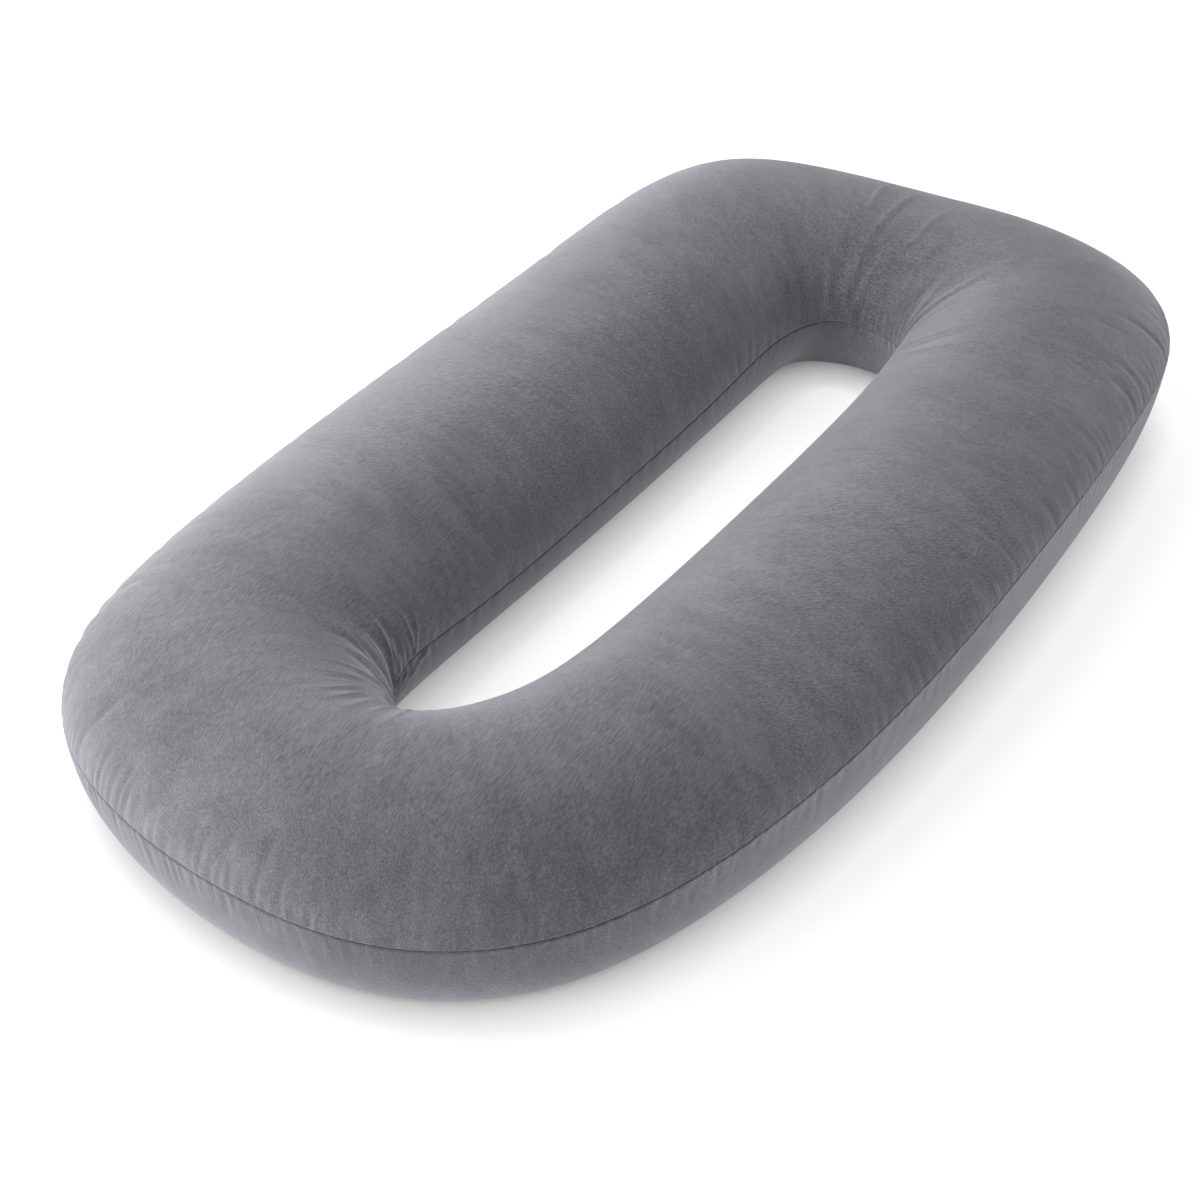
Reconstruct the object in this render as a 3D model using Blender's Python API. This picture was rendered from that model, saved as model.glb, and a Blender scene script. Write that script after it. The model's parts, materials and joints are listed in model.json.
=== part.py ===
"""Body pillow: one closed ring cushion, sewn from an upper and a lower panel and stuffed.

The ring lies on the floor, which is the plane z = 0, and the origin is under the middle of
its box. +X points to the head end, -X to the foot end, +Y to the left arm and -Y to the
right arm. All sizes are metres, unless a name says mm or degrees.
"""
import math

import bmesh
import bpy
import numpy as np
from mathutils import Vector

# Driving dimensions
FLAT_SHARE = 0.66          # share of the half width that lies flat on the floor
FULLNESS = 0.95            # section exponent: 1 is an ellipse, less is fuller
FLAT_ANGLE = 60.0          # degrees of a quarter section given to the lower wall
SEAM_DEPTH_MM = 3.0        # how far the seam draws the cloth in
SEAM_WIDTH_MM = 7.0        # how wide that draw is, on each side
SEAM_SIDE = 60.0           # degrees of a section over which a seam can act
STEP_LENGTH = 1e-3         # parameter step for slopes
NAP_GREY = (0.165, 0.155, 0.170, 1.0)

# Rows are sections across the ring, counter-clockwise from the middle of the head end. They
# pull the sewn outlines as the control points of a smooth closed curve. Steps is how many
# lofted sections follow each row: more where the ring turns.
ROW_COLUMNS = ("name", "outer_x", "outer_y", "inner_x", "inner_y",
               "crown", "outer_seam", "inner_seam", "steps")
ROWS = (
    ("head middle",         0.685,  0.000,  0.455,  0.000, 0.190, 0.095, 0.085, 6),
    ("head left",           0.675,  0.140,  0.450,  0.035, 0.195, 0.095, 0.090, 7),
    ("head left corner",    0.640,  0.320,  0.425,  0.060, 0.200, 0.100, 0.090, 8),
    ("head left turn",      0.495,  0.365,  0.365,  0.075, 0.195, 0.100, 0.090, 6),
    ("left arm head",       0.295,  0.360,  0.245,  0.070, 0.190, 0.105, 0.080, 5),
    ("left arm middle",     0.050,  0.365,  0.020,  0.070, 0.185, 0.105, 0.075, 5),
    ("left arm foot",      -0.195,  0.365, -0.225,  0.077, 0.185, 0.105, 0.065, 7),
    ("foot left turn",     -0.410,  0.360, -0.365,  0.070, 0.188, 0.095, 0.095, 11),
    ("foot left corner",   -0.600,  0.325, -0.395,  0.055, 0.192, 0.090, 0.065, 13),
    ("foot left",          -0.690,  0.155, -0.450,  0.010, 0.195, 0.090, 0.080, 10),
    ("foot middle",        -0.720, -0.005, -0.465, -0.030, 0.195, 0.095, 0.090, 6),
    ("foot right",         -0.710, -0.155, -0.450, -0.042, 0.195, 0.090, 0.090, 6),
    ("foot right corner",  -0.610, -0.295, -0.410, -0.060, 0.190, 0.090, 0.090, 7),
    ("foot right turn",    -0.410, -0.355, -0.350, -0.080, 0.187, 0.095, 0.080, 6),
    ("right arm foot",     -0.195, -0.380, -0.205, -0.085, 0.185, 0.105, 0.075, 5),
    ("right arm middle",    0.050, -0.380,  0.020, -0.085, 0.185, 0.110, 0.075, 5),
    ("right arm head",      0.295, -0.365,  0.245, -0.085, 0.190, 0.105, 0.080, 6),
    ("head right turn",     0.490, -0.345,  0.365, -0.075, 0.195, 0.100, 0.090, 9),
    ("head right corner",   0.635, -0.305,  0.425, -0.065, 0.195, 0.100, 0.090, 10),
    ("head right",          0.690, -0.140,  0.445, -0.030, 0.195, 0.095, 0.090, 7),
)

# Main folds. Each is a soft trough from one seam towards the crest. Angles go round the
# section: 0 is the outer seam, 90 the crest, 180 the inner seam, 270 the underside. The row
# is where the fold lies along the ring, at its seam end and at its free end. A bend of 1 is
# a straight run between them, and less than 1 sweeps away from the seam end early.
FOLD_COLUMNS = ("seam_row", "free_row", "seam_angle", "free_angle",
                "depth_mm", "width_mm", "bend")
FOLDS = (
    # fan from the pinched foot left inner corner
    (7.60,  7.15, 180, 140, 4.0, 10, 1.0),
    (7.90,  7.70, 184, 136, 5.0, 10, 1.0),
    (8.00,  8.10, 184, 122, 6.0, 10, 1.0),
    (8.05,  8.45, 184, 112, 7.0, 10, 0.55),
    (8.10,  8.75, 184, 106, 7.0, 10, 0.55),
    (8.15,  9.05, 184, 100, 7.0, 11, 0.55),
    (8.20,  9.40, 184,  94, 6.0, 12, 0.55),
    (8.25,  9.68, 184,  92, 6.0, 12, 0.55),
    (8.30, 10.00, 184,  98, 5.0, 12, 0.55),
    (8.40, 10.30, 184,  98, 5.0, 12, 0.55),
    # shallow troughs up the inside of the head end
    (0.15, -0.15, 178,  96, 4.0, 16, 1.0),
    (0.75,  0.05, 178, 100, 5.0, 16, 1.0),
    (1.25,  0.50, 178,  76, 5.0, 18, 1.0),
    (1.70,  1.25, 178, 120, 4.0, 18, 1.0),
    # fan from the head right inner corner
    (17.95, 17.40, 184, 112, 5.0, 12, 0.7),
    (18.05, 17.90, 184, 104, 5.0, 12, 0.8),
    (18.15, 18.45, 184, 104, 5.0, 12, 0.7),
    (18.50, 18.95, 182, 108, 4.0, 13, 1.0),
    # puckers drawn into the outer seam at the two tightest corners
    (8.30,  8.25,  -4,  34, 4.0, 12, 1.0),
    (8.75,  8.72,  -4,  30, 4.0, 12, 1.0),
    (9.20,  9.18,  -4,  26, 3.0, 12, 1.0),
    (17.35, 17.40, -4,  34, 4.0, 12, 1.0),
    (17.75, 17.80, -4,  32, 4.0, 12, 1.0),
)
FOLD_START = 0.12          # share of a fold's length over which it reaches its full depth

# Angles round the section, closer together at the two seams and the lower walls
UPPER_ANGLES = (0, 3, 8, 17, 30, 45, 60, 75, 90, 105, 119, 131, 142, 152, 161, 169, 174, 177.5)
LOWER_ANGLES = (180, 183, 188, 198, 210, 222, 233, 240, 300, 307, 318, 330, 342, 352, 357)


def column(table, columns, name):
    """One column of a table, as numbers."""
    place = columns.index(name)
    return np.array([float(row[place]) for row in table])


def smooth(values, row):
    """A smooth closed curve pulled by the control values, read at a row position."""
    count = len(values)
    row = np.asarray(row, dtype=float) % count
    first = row.astype(int)
    f = row - first
    weights = (
        (1 - f) ** 3 / 6,
        (3 * f ** 3 - 6 * f ** 2 + 4) / 6,
        (-3 * f ** 3 + 3 * f ** 2 + 3 * f + 1) / 6,
        f ** 3 / 6,
    )
    total = np.zeros_like(row)
    for offset, weight in zip((-1, 0, 1, 2), weights):
        total = total + weight * values[(first + offset) % count]
    return total


def plump_point(row, degrees):
    """Points of the plump, unfolded ring at row positions and angles round the section."""
    outline = {}
    for name in ROW_COLUMNS[1:-1]:
        outline[name] = smooth(column(ROWS, ROW_COLUMNS, name), row)
    angle = np.radians(degrees)
    c = np.cos(angle)
    s = np.sin(angle)
    outward = (1 + c) / 2
    share = outward ** 2 * (3 - 2 * outward)
    seam = outline["inner_seam"] * (1 - share) + outline["outer_seam"] * share
    top_across = np.sign(c) * np.abs(c) ** FULLNESS
    top_height = seam + (outline["crown"] - seam) * np.abs(s) ** FULLNESS
    down = np.abs(s) / math.sin(math.radians(FLAT_ANGLE))
    wall = np.sqrt(np.clip(1 - down ** 2, 0, 1))
    edge = math.cos(math.radians(FLAT_ANGLE))
    on_wall = np.abs(c) > edge - 1e-9
    low_across = np.sign(c) * np.where(
        on_wall, FLAT_SHARE + (1 - FLAT_SHARE) * wall, FLAT_SHARE * np.abs(c) / edge)
    low_height = np.where(on_wall, seam * np.clip(1 - down, 0, 1), 0.0)
    upper = s > -1e-9
    across = (1 + np.where(upper, top_across, low_across)) / 2
    x = outline["inner_x"] + (outline["outer_x"] - outline["inner_x"]) * across
    y = outline["inner_y"] + (outline["outer_y"] - outline["inner_y"]) * across
    return np.stack([x, y, np.where(upper, top_height, low_height)], axis=-1)


def slopes(row, degrees):
    """Outward unit normals of the plump ring, and metres per row along it."""
    along = plump_point(row + STEP_LENGTH, degrees) - plump_point(row - STEP_LENGTH, degrees)
    step_degrees = math.degrees(STEP_LENGTH)
    around = (plump_point(row, degrees + step_degrees)
              - plump_point(row, degrees - step_degrees))
    normal = np.cross(along, around)
    length = np.linalg.norm(normal, axis=-1, keepdims=True)
    metres_per_row = np.linalg.norm(along, axis=-1) / (2 * STEP_LENGTH)
    return normal / np.maximum(length, 1e-12), metres_per_row


def draw_in(row, degrees, metres_per_row):
    """How far the seams and the main folds pull each point inwards, in metres."""
    return seam_groove(row, degrees) + fold_depth(row, degrees, metres_per_row)


def seam_groove(row, degrees):
    """The narrow groove that sewing the two panels together leaves along each seam."""
    groove = np.zeros_like(row)
    here = plump_point(row, degrees)
    for seam_angle in (0.0, 180.0, 360.0):
        seam = plump_point(row, np.full_like(degrees, seam_angle))
        reach = np.linalg.norm(here - seam, axis=-1)
        bite = SEAM_DEPTH_MM / 1000 * np.exp(-reach / (SEAM_WIDTH_MM / 1000))
        near = np.abs(degrees - seam_angle) < SEAM_SIDE
        groove = groove + np.where(near, bite, 0.0)
    return groove


def fold_depth(row, degrees, metres_per_row):
    """Depth of the deepest main fold at each point, in metres."""
    deepest = np.zeros_like(row)
    turns = len(ROWS)
    signed = np.where(degrees > 300, degrees - 360, degrees)
    for fold in FOLDS:
        f = dict(zip(FOLD_COLUMNS, fold))
        share = (signed - f["seam_angle"]) / (f["free_angle"] - f["seam_angle"])
        share = np.clip(share, 0, 1)
        line = f["seam_row"] + (f["free_row"] - f["seam_row"]) * share ** f["bend"]
        aside = (row - line + turns / 2) % turns - turns / 2
        away = aside * metres_per_row / (f["width_mm"] / 1000)
        strength = np.clip(share / FOLD_START, 0, 1) * (1 - share)
        depth = f["depth_mm"] / 1000 * strength * np.exp(-away ** 2)
        deepest = np.maximum(deepest, depth)
    return deepest


def ring_sections():
    """Row positions of the lofted sections, one after another round the ring."""
    places = []
    for index, row in enumerate(ROWS):
        steps = row[ROW_COLUMNS.index("steps")]
        places.extend(index + step / steps for step in range(steps))
    return np.array(places)


def ring_points():
    """The loft's points, as sections by angles by x, y, z, moved over the origin."""
    degrees = np.array(UPPER_ANGLES + LOWER_ANGLES, dtype=float)
    row, around = np.meshgrid(ring_sections(), degrees, indexing="ij")
    points = plump_point(row, around)
    normal, metres_per_row = slopes(row, around)
    depth = draw_in(row, around, metres_per_row)
    lying = points[..., 2] < 1e-6
    depth = np.where(lying, 0.0, depth)
    points = points - normal * depth[..., None]
    points[..., 2] = np.where(lying, 0.0, np.maximum(points[..., 2], 0.0))
    low = points.reshape(-1, 3).min(axis=0)
    high = points.reshape(-1, 3).max(axis=0)
    middle = (low + high) / 2
    return points - np.array([middle[0], middle[1], 0.0])


def velour_material():
    """Short-napped grey cloth."""
    material = bpy.data.materials.new("grey velour")
    material.use_nodes = True
    shader = material.node_tree.nodes["Principled BSDF"]
    shader.inputs["Base Color"].default_value = NAP_GREY
    shader.inputs["Roughness"].default_value = 0.9
    shader.inputs["Metallic"].default_value = 0.0
    shader.inputs["Sheen Weight"].default_value = 0.3
    return material


def build_pillow(collection):
    """Lofts the closed ring cushion through its sections."""
    points = ring_points()
    sections, angles = points.shape[:2]
    shape = bmesh.new()
    verts = [[shape.verts.new(Vector(p)) for p in section] for section in points]
    for i in range(sections):
        here = verts[i]
        following = verts[(i + 1) % sections]
        for k in range(angles):
            j = (k + 1) % angles
            shape.faces.new((here[k], following[k], following[j], here[j]))
    bmesh.ops.recalc_face_normals(shape, faces=shape.faces)
    mesh = bpy.data.meshes.new("pillow")
    shape.to_mesh(mesh)
    shape.free()
    mesh.shade_smooth()
    pillow = bpy.data.objects.new("pillow", mesh)
    pillow.data.materials.append(velour_material())
    collection.objects.link(pillow)
    return pillow


def main():
    for thing in list(bpy.data.objects):
        bpy.data.objects.remove(thing, do_unlink=True)
    collection = bpy.data.collections.new("body pillow")
    bpy.context.scene.collection.children.link(collection)
    build_pillow(collection)


main()
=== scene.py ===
"""Looks of the body pillow: two sewn velour panels, their seams, the floor, light and camera."""

import json
import math

import bpy
import numpy as np
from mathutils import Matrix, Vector

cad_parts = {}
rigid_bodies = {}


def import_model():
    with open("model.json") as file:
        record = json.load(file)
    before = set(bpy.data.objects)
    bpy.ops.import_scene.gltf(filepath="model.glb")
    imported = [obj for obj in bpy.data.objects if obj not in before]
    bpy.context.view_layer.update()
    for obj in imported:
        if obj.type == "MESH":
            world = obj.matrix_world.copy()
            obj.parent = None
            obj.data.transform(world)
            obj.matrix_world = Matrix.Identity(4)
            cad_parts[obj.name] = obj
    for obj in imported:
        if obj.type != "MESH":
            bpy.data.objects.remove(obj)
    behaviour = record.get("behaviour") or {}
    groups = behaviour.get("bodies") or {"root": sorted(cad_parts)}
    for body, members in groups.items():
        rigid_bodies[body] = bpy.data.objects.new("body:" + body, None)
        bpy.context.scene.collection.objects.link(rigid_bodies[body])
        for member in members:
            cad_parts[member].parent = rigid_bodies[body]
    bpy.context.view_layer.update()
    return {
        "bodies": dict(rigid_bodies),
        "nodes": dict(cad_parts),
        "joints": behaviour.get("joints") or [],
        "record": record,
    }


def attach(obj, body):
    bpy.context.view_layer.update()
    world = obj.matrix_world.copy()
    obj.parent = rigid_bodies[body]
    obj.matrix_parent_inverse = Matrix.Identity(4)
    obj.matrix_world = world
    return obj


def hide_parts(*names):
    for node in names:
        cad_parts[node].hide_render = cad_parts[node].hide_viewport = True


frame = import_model()

# ---------------------------------------------------------------------------------------
# Sizes, in metres unless a name says mm or degrees
# ---------------------------------------------------------------------------------------
FLAT_SHARE = 0.66            # share of the half width that lies flat on the floor
LEAN_STRAIGHTENS = 0.75      # how far an inner wall that leans back loses its bulge
LEAN_NARROWS = 0.11          # and how much less of the half width it leaves flat
FULLNESS = 0.95              # section exponent: 1 is an ellipse, less is fuller
FLAT_ANGLE = 60.0            # degrees of a quarter section given to the lower wall
STEP_LENGTH = 1e-3           # parameter step for slopes
TINY = 1e-12                 # too small to matter, and keeps divisions safe

# Rows are sections across the ring, counter-clockwise from the middle of the head end. They
# pull the sewn outlines as the control points of a smooth closed curve. The fineness is how
# much closer together the mesh's sections lie there, and the corner how far the cloth stands
# out beside a seam. An inner lean of 1 is a lower inner wall that runs almost straight down
# and back under the cushion.
ROW_COLUMNS = ("name", "outer_x", "outer_y", "inner_x", "inner_y",
               "crown", "outer_seam", "inner_seam", "fineness",
               "corner_mm", "inner_lean")
ROWS = (
    ("head middle",         0.685,  0.000,  0.455,  0.000, 0.190, 0.095, 0.085, 1.2, 2.2, 0.75),
    ("head left",           0.675,  0.140,  0.450,  0.035, 0.195, 0.095, 0.090, 1.0, 2.0, 1.05),
    ("head left corner",    0.640,  0.320,  0.425,  0.060, 0.200, 0.100, 0.090, 1.0, 1.8, 0.95),
    ("head left turn",      0.495,  0.365,  0.365,  0.075, 0.195, 0.100, 0.090, 0.9, 1.8, 0.08),
    ("left arm head",       0.295,  0.360,  0.245,  0.070, 0.190, 0.105, 0.080, 0.9, 1.8, 0.25),
    ("left arm middle",     0.050,  0.365,  0.020,  0.070, 0.185, 0.105, 0.075, 0.9, 1.8, 0.10),
    ("left arm foot",      -0.195,  0.365, -0.225,  0.077, 0.185, 0.105, 0.065, 0.9, 1.8, 0.05),
    ("foot left turn",     -0.410, 0.359, -0.365,  0.070, 0.188, 0.095, 0.095, 1.3, 1.6, 0.20),
    ("foot left corner", -0.598, 0.323, -0.395,  0.055, 0.192, 0.090, 0.065, 1.7, 1.0, 0.30),
    ("foot left", -0.688,  0.155, -0.450,  0.010, 0.195, 0.090, 0.080, 1.6, 0.9, 0.00),
    ("foot middle",        -0.720, -0.005, -0.465, -0.030, 0.195, 0.095, 0.090, 1.1, 0.9, 0.00),
    ("foot right",         -0.710, -0.155, -0.450, -0.042, 0.195, 0.089, 0.090, 0.9, 1.2, 0.00),
    ("foot right corner",  -0.610, -0.295, -0.410, -0.060, 0.190, 0.093, 0.090, 0.9, 2.0, 0.00),
    ("foot right turn",    -0.410, -0.357, -0.350, -0.080, 0.187, 0.099, 0.080, 0.9, 3.0, 0.00),
    ("right arm foot",     -0.195, -0.384, -0.205, -0.085, 0.185, 0.112, 0.075, 0.9, 3.4, 0.00),
    ("right arm middle",    0.050, -0.384,  0.020, -0.085, 0.185, 0.122, 0.075, 0.9, 3.4, 0.00),
    ("right arm head",      0.295, -0.369,  0.245, -0.085, 0.190, 0.121, 0.080, 1.1, 3.2, 0.00),
    ("head right turn",     0.490, -0.346,  0.365, -0.075, 0.195, 0.114, 0.090, 1.5, 2.8, 0.30),
    ("head right corner",   0.635, -0.305,  0.425, -0.065, 0.195, 0.105, 0.090, 1.5, 2.0, 0.40),
    ("head right",          0.690, -0.140,  0.445, -0.030, 0.195, 0.095, 0.090, 1.3, 2.0, 0.50),
)
TURNS = len(ROWS)

# Main folds: ridges where the height is positive, troughs where it is negative. Each line
# runs from a start, by a middle place, to a free end. Angles go round the section: 0 is the
# outer seam, 90 the crest, 180 the inner seam, 270 the underside.
FOLD_COLUMNS = ("start_row", "start_angle", "by_row", "by_angle", "end_row", "end_angle",
                "height_mm", "width_mm")
FOLDS = (
    # fan on the foot end, gathered into the pinched foot left inner corner: ridges
    (7.95, 179,  9.10, 146,  9.28, 100,  2.1, 3.0),
    (7.96, 179,  8.98, 148,  9.12, 110,  1.5, 2.6),
    (7.95, 180,  9.20, 148,  9.54, 104,  2.2, 3.0),
    (8.00, 181,  9.45, 143,  9.88, 104,  1.9, 3.0),
    (8.05, 180,  9.62, 144, 10.00, 112,  1.4, 2.6),
    (8.10, 182,  9.80, 146, 10.15, 112,  1.8, 2.8),
    (8.30, 180, 10.05, 142, 10.35, 116,  1.3, 2.8),
    (8.60, 178, 10.45, 134, 10.30,  98,  1.5, 3.2),
    (9.00, 180, 10.70, 148, 10.80, 120,  1.1, 3.0),
    (9.30, 178, 10.95, 150, 11.10, 126,  0.9, 3.2),
    (8.00, 176,  8.22, 150,  8.36, 122,  1.8, 5.0),
    (8.00, 179,  8.60, 152,  8.70, 122,  2.0, 2.6),
    (7.98, 180,  8.85, 148,  8.97, 114,  2.0, 2.8),
    (7.98, 178,  8.34, 160,  8.50, 136,  1.6, 2.4),
    (7.95, 178,  8.16, 158,  8.14, 134,  1.4, 2.4),
    (7.95, 178,  8.08, 163,  7.86, 134,  2.2, 2.6),
    (7.88, 179,  7.76, 164,  7.62, 144,  1.4, 2.4),
    (7.76, 179,  7.50, 167,  7.28, 145,  2.2, 2.6),
    (7.60, 179,  7.30, 166,  7.08, 148,  1.2, 2.4),
    (6.90, 176,  6.90, 165,  6.87, 150,  1.5, 2.6),
    (6.94, 181,  6.84, 173,  6.74, 158,  1.5, 2.6),
    # the same fan: troughs
    (8.02, 176,  8.06, 142,  8.08, 120, -3.0, 7.0),
    (8.05, 178,  8.42, 157,  8.36, 134, -3.2, 5.0),
    (8.00, 180,  8.73, 150,  8.80, 122, -2.0, 3.5),
    (8.00, 180,  8.98, 146,  9.10, 110, -2.4, 5.0),
    (8.00, 180,  9.16, 147,  9.40, 104, -2.2, 4.0),
    (8.05, 181,  9.33, 146,  9.70, 104, -2.6, 6.0),
    (8.10, 181,  9.65, 145, 10.02, 108, -2.2, 6.0),
    (8.30, 180, 10.12, 140, 10.22, 104, -2.2, 7.0),
    (7.66, 174,  7.60, 156,  7.63, 138, -2.0, 7.0),
    (7.90, 180,  7.78, 168,  7.70, 156, -2.4, 4.0),
    (7.22, 172,  7.22, 160,  7.24, 146, -2.0, 6.0),
    (7.52, 181,  7.45, 174,  7.38, 164, -2.6, 5.0),
    # below the inner seam beside the pinch
    (6.68, 182,  6.95, 192,  7.32, 206,  1.8, 3.5),
    (7.04, 182,  7.21, 190,  7.28, 202,  1.6, 3.0),
    (7.30, 181,  7.45, 190,  7.50, 204, -2.0, 5.0),
    # soft folds up the inside of the head end and over its crest
    (0.62, 102,  0.60,  84,  0.50,  58,  1.2, 4.0),
    (0.42, 122,  0.27,  95,  0.14,  62,  1.2, 4.5),
    (0.30, 134,  0.21, 106,  0.10,  80, -1.0, 8.0),
    (0.95, 168,  0.62, 139,  0.36, 110,  1.3, 6.0),
    (1.20, 168,  0.88, 143,  0.62, 118, -2.2, 8.0),
    (0.56, 170,  0.27, 141,  0.04, 112, -2.4, 6.0),
    (0.66, 178,  0.33, 157,  0.05, 136,  1.4, 4.5),
    (0.12, 179,  0.00, 161, -0.20, 140,  1.4, 4.0),
    (0.34, 179,  0.18, 165,  0.00, 146, -2.0, 6.0),
    (1.50, 180,  1.40, 164,  1.20, 134,  1.0, 5.0),
    (1.62, 180,  1.55, 168,  1.48, 144, -2.4, 8.0),
    (2.30, 179,  2.40, 158,  2.56, 118,  1.0, 4.5),
    (-0.42, 126, -0.40, 108, -0.26, 74,  1.2, 5.0),
    (18.85, 162, 18.98, 140, 19.14, 114,  1.2, 5.0),
    (-0.12, 176, -0.12, 160, -0.22, 136,  0.9, 4.0),
    # fan on the right arm, gathered into the head right inner corner
    (17.95, 178, 18.05, 146, 18.52, 116,  1.8, 3.6),
    (17.85, 178, 17.72, 135, 18.22,  97,  1.9, 3.6),
    (17.85, 178, 17.62, 130, 18.06, 100, -1.3, 4.5),
    (17.80, 178, 17.25, 137, 17.50, 118, -1.3, 4.0),
    (17.70, 178, 16.66, 128, 17.12,  96,  1.3, 3.6),
    (17.60, 178, 16.40, 122, 16.62,  96,  1.3, 3.6),
    (17.65, 178, 16.52, 125, 16.80, 100, -1.8, 5.0),
    (18.05, 180, 18.30, 150, 18.75, 118, -1.8, 7.0),
)
FOLD_START = 0.10            # share of a fold's length over which it reaches its full height
FOLD_FADE = 0.8              # exponent of its fade to the free end: less is more sudden
FOLD_OVERRUN = 0.02          # share of its length that it runs on past the seam

# Short puckers that the sewing gathers beside a seam. Rows past the last one count on round.
# The lean is how far a pucker drifts along the ring for each metre away from the seam.
PUCKER_COLUMNS = ("seam", "panel", "from_row", "to_row", "spacing_mm", "length_mm",
                  "depth_mm", "lean")
PUCKERS = (
    ("outer", "upper",  7.6,  9.6, 13, 60, 0.8,  0.12),
    ("outer", "upper",  9.6, 12.0, 13, 66, 0.9,  0.10),
    ("outer", "upper", 12.0, 14.4, 20, 36, 0.8,  0.00),
    ("outer", "upper", 14.4, 16.4, 15, 46, 0.6,  0.00),
    ("outer", "upper", 16.4, 19.0, 13, 54, 0.7,  0.00),
    ("outer", "upper", 19.0, 21.8, 15, 44, 0.6,  0.05),
    ("outer", "upper", 21.8, 27.6, 24, 54, 1.5,  0.25),
    ("outer", "lower",  7.6, 12.0, 11, 50, 1.1,  0.10),
    ("outer", "lower", 12.0, 14.4, 16, 50, 1.2,  0.10),
    ("outer", "lower", 14.4, 19.0, 15, 56, 0.9,  0.15),
    ("outer", "lower", 19.0, 27.6, 18, 46, 1.3,  0.10),
    ("inner", "upper",  3.6,  7.0, 17, 30, 0.6,  0.00),
    ("inner", "upper",  7.0, 10.4,  9, 36, 0.9, -0.10),
    ("inner", "upper", 10.4, 13.4, 13, 44, 1.2,  0.00),
    ("inner", "upper", 13.4, 16.8, 17, 60, 1.2,  0.25),
    ("inner", "upper", 16.8, 19.6, 10, 44, 0.45, 0.10),
    ("inner", "upper", 19.6, 23.6, 18, 44, 0.6, -0.10),
    ("inner", "lower",  3.6,  7.4, 24, 40, 0.9, -0.40),
    ("inner", "lower",  7.4, 10.4,  9, 34, 1.2,  0.20),
    ("inner", "lower", 10.4, 16.8, 18, 36, 0.8,  0.20),
    ("inner", "lower", 16.8, 19.8, 10, 40, 0.6,  0.30),
    ("inner", "lower", 19.8, 23.6, 18, 40, 0.6,  0.30),
)

PUCKER_SEEDS = {"upper": (11, 23), "lower": (37, 41)}    # outer seam, inner seam
PUCKER_CHANCES = {           # least and greatest share of the table's value; lean is added
    "spacing": (0.55, 1.45), "length": (0.5, 1.35), "depth": (0.3, 1.3),
    "width": (0.22, 0.42), "lean": (-0.18, 0.18),
}
PUCKER_WINDOW = 0.11         # how far along the ring to either side one pucker is worked out
PUCKER_WIDENS = 0.5          # share by which a pucker is wider at its free end
PUCKER_RIDGE = 1.5           # how strongly the cloth rises beside a pucker's hollow
PUCKER_FADE = 1.2            # exponent of its fade to the free end
PUCKER_AT_SEAM = 0.25        # share of its depth at the seam itself
PUCKER_RISE = 0.004          # reach from the seam over which it grows by its full depth

# The seam: a soft corner that stands out, a narrow crease in it along the stitching, and the
# turned-in edge of each panel behind the crease
CORNER_WIDTH = 0.013
CREASE_DEPTH = 0.0009
CREASE_SHARE = 0.55          # of the corner's height, added to the crease's depth
CREASE_WIDTH = 0.0009
INNER_SEAM_EASE = 0.0006     # the inner seam's line is this much further off, so fainter
INNER_SEAM_SHARE = 0.55      # the inner seam's corner and crease, as a share of the outer's
TURN_IN = (0.0015, 0.0040)   # how deep the turned-in edge's loops lie behind the crease
TURN_GAP = 0.0003            # how far each turned-in edge stays from the other panel
FLOOR_CLEARANCE = 0.012      # height at which cloth is wholly free to fold

# Cloth simulation: a coarse skin of the whole ring, sewn fast at both seams, with cloth to
# spare beside them, swells under the filling and wrinkles there
SKIN_SECTIONS = 760
SKIN_UPPER = 30              # loops of the skin across the upper panel
SKIN_WALL = 11               # loops of the skin down each lower wall
SKIN_BUNCHING = 0.75         # how much closer the upper loops lie beside the seams
SKIN_WALL_BUNCHING = 0.5     # the same down the lower walls
SKIN_UNDERSIDE = 20          # degrees from each wall's foot to the skin's loops underneath
SPARE_CLOTH = 0.14           # share by which cloth beside a seam is longer than its place
SPARE_REACH = 0.045          # how far from a seam cloth is to spare
SEED_SHARE = 1.0             # share of the puckers that the simulation starts from
KEPT_SHARE = 0.6             # share of the puckers added again after it
SEWN_MARGIN = 0.006          # reach from a seam over which the seeded puckers grow
LYING_HEIGHT = 0.0015        # cloth lower than this lies on the floor and stays there
GROUP_STEPS = 40             # steps in which the weights of cloth are written
CLOTH_SETTINGS = {
    "quality": 5, "tension_stiffness": 80, "compression_stiffness": 40,
    "shear_stiffness": 10, "bending_stiffness": 0.02,
    "vertex_group_mass": "sewn", "vertex_group_shrink": "spare",
    "use_pressure": True, "uniform_pressure_force": 4.0,
    "shrink_min": 0.0, "shrink_max": -SPARE_CLOTH,
}
SETTLE_FRAMES = 20
MOST_MOTION = 0.006
EVEN_SPAN = 15               # sections averaged to tell wrinkles from the broad form

STATIONS = 1290              # sections round the ring
FINE_STEPS = 4000            # steps in which the ring is measured to place the sections
UPPER_LOOPS = 72             # loops of mesh across the upper panel
LOWER_LOOPS = 50             # loops of mesh across the lower panel
FLAT_LOOPS = 4               # of those, loops on the flat underside
UPPER_BUNCHING = 0.93        # how much closer the upper loops lie beside the seams
WALL_BUNCHING = 0.75         # the same down the lower walls
BOX_LOOPS = 61               # loops at which the plump ring's box is measured

# ---------------------------------------------------------------------------------------
# The plump ring
# ---------------------------------------------------------------------------------------


def column(name):
    """One column of the row table, as numbers."""
    place = ROW_COLUMNS.index(name)
    return np.array([float(row[place]) for row in ROWS])


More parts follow.
